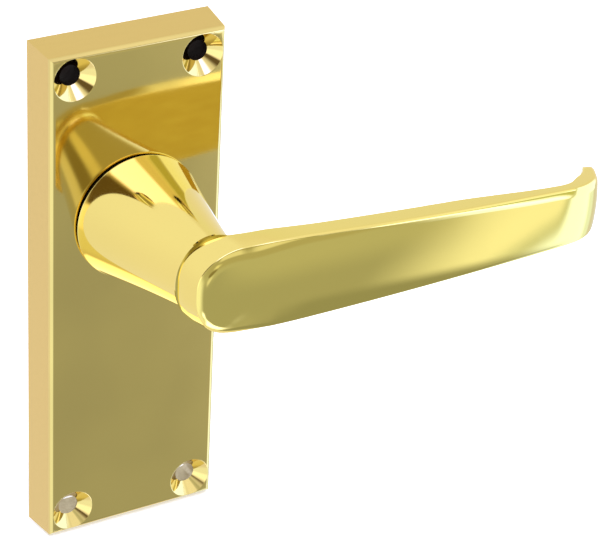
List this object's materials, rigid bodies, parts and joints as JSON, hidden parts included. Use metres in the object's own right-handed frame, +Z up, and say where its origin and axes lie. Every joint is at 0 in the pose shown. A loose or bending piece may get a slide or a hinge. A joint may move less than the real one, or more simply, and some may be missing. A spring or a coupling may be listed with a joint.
{
  "type": "door lever handle",
  "caption": "Sprung door lever on a short rectangular backplate: a tapered blade with a curled tip on a round neck, turning in a bush against a return spring.",
  "frame": {"origin": "on the spindle's axis, in the plane of the door's face that the backplate lies on", "axes": "+X along the lever at rest, +Y into the door along the spindle, +Z up"},
  "size_m": [0.117, 0.051, 0.118],
  "materials": {
    "polished_brass": "polished and lacquered cast brass",
    "black_nylon": "moulded black nylon",
    "spring_steel": "oiled spring steel",
    "zinc_plated_steel": "bright zinc plated pressed steel"
  },
  "bodies": {
    "backplate": {"backplate": "polished_brass", "neck_bush": "black_nylon", "return_spring": "spring_steel"},
    "lever": {"lever": "polished_brass", "thrust_washer": "black_nylon", "drive_cam": "zinc_plated_steel", "retaining_washer": "zinc_plated_steel", "circlip": "spring_steel"}
  },
  "joints": [
    {"name": "lever_turn", "type": "hinge", "parent": "backplate", "child": "lever", "pos_m": [0, 0, 0], "axis": [0, 1, 0], "range_deg": [0, 50], "stiffness_Nm_per_rad": 0.31, "springref_deg": -68.75, "deforming": ["return_spring"]}
  ]
}
